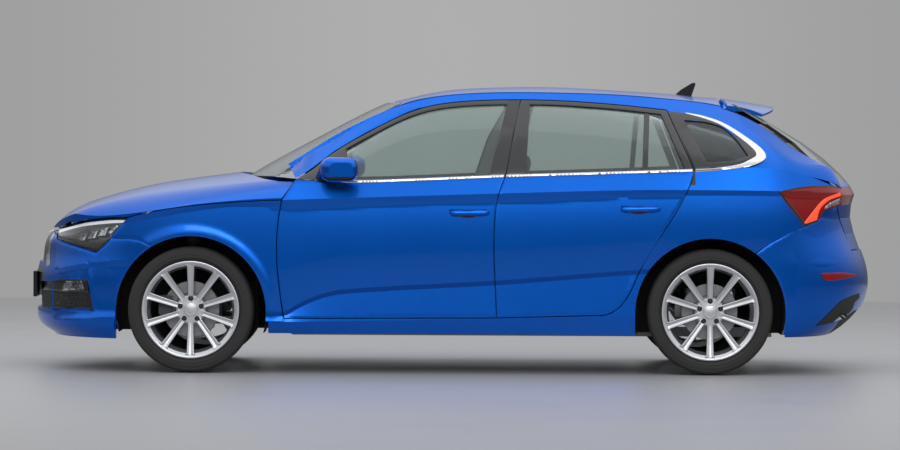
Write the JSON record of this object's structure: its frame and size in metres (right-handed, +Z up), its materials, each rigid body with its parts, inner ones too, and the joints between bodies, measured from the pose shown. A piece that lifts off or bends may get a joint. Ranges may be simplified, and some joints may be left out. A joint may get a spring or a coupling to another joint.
{
  "type": "hatchback",
  "caption": "Compact five-door hatchback with opening doors, hood and tailgate, steered front wheels and free-rolling wheels.",
  "frame": {"origin": "on the ground, midway between nose and tail and between the sides", "axes": "+X to the rear, +Y to the car's right, +Z up; the car faces -X"},
  "size_m": [4.3675, 2.028, 1.5],
  "materials": {
    "blue_paint": "metallic clear coat",
    "black_trim": "gloss black",
    "grained_plastic": "grained black",
    "underbody": "matt primer",
    "tinted_glass": "clear, slightly green",
    "dark_glass": "dark tint",
    "lamp_glass": "clear lens",
    "red_lens": "red lens",
    "tyre_rubber": "rubber",
    "wheel_silver": "silver lacquer",
    "steel": "bare steel",
    "cast_metal": "cast",
    "seat_cloth": "woven cloth",
    "soft_trim": "soft touch"
  },
  "bodies": {
    "body": {"floor_pan": "underbody", "left_side_frame": "blue_paint", "right_side_frame": "blue_paint", "roof": "blue_paint", "front_fenders": "blue_paint", "front_bumper": "blue_paint", "grille": "black_trim", "lower_intake": "black_trim", "headlamps": "lamp_glass", "fog_lamps": "lamp_glass", "rear_lamps": "red_lens", "windscreen": "tinted_glass", "quarter_windows": "dark_glass", "rear_bumper": "blue_paint", "rear_diffuser": "grained_plastic", "cowl_and_wipers": "grained_plastic", "antenna": "black_trim", "dashboard": "soft_trim", "front_seats": "seat_cloth", "rear_seat": "seat_cloth", "rear_axle": "steel", "front_subframe": "steel", "exhaust": "steel", "engine": "cast_metal", "wheel_housings": "underbody", "radiator_support": "underbody"},
    "hood": {"hood": "blue_paint"},
    "tailgate": {"tailgate": "blue_paint", "rear_window": "dark_glass", "roof_spoiler": "blue_paint", "tailgate_lamps": "red_lens"},
    "front_left_door": {"front_left_door": "blue_paint", "front_left_window": "tinted_glass", "left_mirror": "blue_paint"},
    "front_right_door": {"front_right_door": "blue_paint", "front_right_window": "tinted_glass", "right_mirror": "blue_paint"},
    "rear_left_door": {"rear_left_door": "blue_paint", "rear_left_window": "tinted_glass"},
    "rear_right_door": {"rear_right_door": "blue_paint", "rear_right_window": "tinted_glass"},
    "left_knuckle": {"left_knuckle": "cast_metal"},
    "right_knuckle": {"right_knuckle": "cast_metal"},
    "front_left_wheel": {"front_left_tyre": "tyre_rubber", "front_left_rim": "wheel_silver"},
    "front_right_wheel": {"front_right_tyre": "tyre_rubber", "front_right_rim": "wheel_silver"},
    "rear_left_wheel": {"rear_left_tyre": "tyre_rubber", "rear_left_rim": "wheel_silver"},
    "rear_right_wheel": {"rear_right_tyre": "tyre_rubber", "rear_right_rim": "wheel_silver"},
    "steering_wheel": {"steering_wheel": "soft_trim"}
  },
  "joints": [
    {"name": "hood_hinge", "type": "hinge", "parent": "body", "child": "hood", "pos_m": [-0.795, 0, 0.988], "axis": [0, 1, 0], "range_deg": [0, 50]},
    {"name": "tailgate_hinge", "type": "hinge", "parent": "body", "child": "tailgate", "pos_m": [1.392, 0, 1.398], "axis": [0, -1, 0], "range_deg": [0, 80]},
    {"name": "front_left_door_hinge", "type": "hinge", "parent": "body", "child": "front_left_door", "pos_m": [-0.845, -0.872, 0.6], "axis": [0, 0, -1], "range_deg": [0, 66]},
    {"name": "front_right_door_hinge", "type": "hinge", "parent": "body", "child": "front_right_door", "pos_m": [-0.845, 0.872, 0.6], "axis": [0, 0, 1], "range_deg": [0, 66]},
    {"name": "rear_left_door_hinge", "type": "hinge", "parent": "body", "child": "rear_left_door", "pos_m": [0.262, -0.872, 0.6], "axis": [0, 0, -1], "range_deg": [0, 68]},
    {"name": "rear_right_door_hinge", "type": "hinge", "parent": "body", "child": "rear_right_door", "pos_m": [0.262, 0.872, 0.6], "axis": [0, 0, 1], "range_deg": [0, 68]},
    {"name": "left_steering", "type": "hinge", "parent": "body", "child": "left_knuckle", "pos_m": [-1.328, -0.69, 0.322], "axis": [0, 0, 1], "range_deg": [-34, 34]},
    {"name": "right_steering", "type": "hinge", "parent": "body", "child": "right_knuckle", "pos_m": [-1.328, 0.69, 0.322], "axis": [0, 0, 1], "range_deg": [-34, 34]},
    {"name": "front_left_wheel_spin", "type": "hinge", "parent": "left_knuckle", "child": "front_left_wheel", "pos_m": [-1.328, -0.765, 0.322], "axis": [0, -1, 0], "continuous": true},
    {"name": "front_right_wheel_spin", "type": "hinge", "parent": "right_knuckle", "child": "front_right_wheel", "pos_m": [-1.328, 0.765, 0.322], "axis": [0, -1, 0], "continuous": true},
    {"name": "rear_left_wheel_spin", "type": "hinge", "parent": "body", "child": "rear_left_wheel", "pos_m": [1.321, -0.758, 0.322], "axis": [0, -1, 0], "continuous": true},
    {"name": "rear_right_wheel_spin", "type": "hinge", "parent": "body", "child": "rear_right_wheel", "pos_m": [1.321, 0.758, 0.322], "axis": [0, -1, 0], "continuous": true},
    {"name": "steering_wheel_turn", "type": "hinge", "parent": "body", "child": "steering_wheel", "pos_m": [-0.47, -0.37, 0.87], "axis": [0.9063, 0, 0.4226], "range_deg": [-500, 500]}
  ],
  "couplings": [
    {"joint": "right_steering", "follows": "left_steering", "ratio": 1},
    {"joint": "steering_wheel_turn", "follows": "left_steering", "ratio": 14.7}
  ]
}
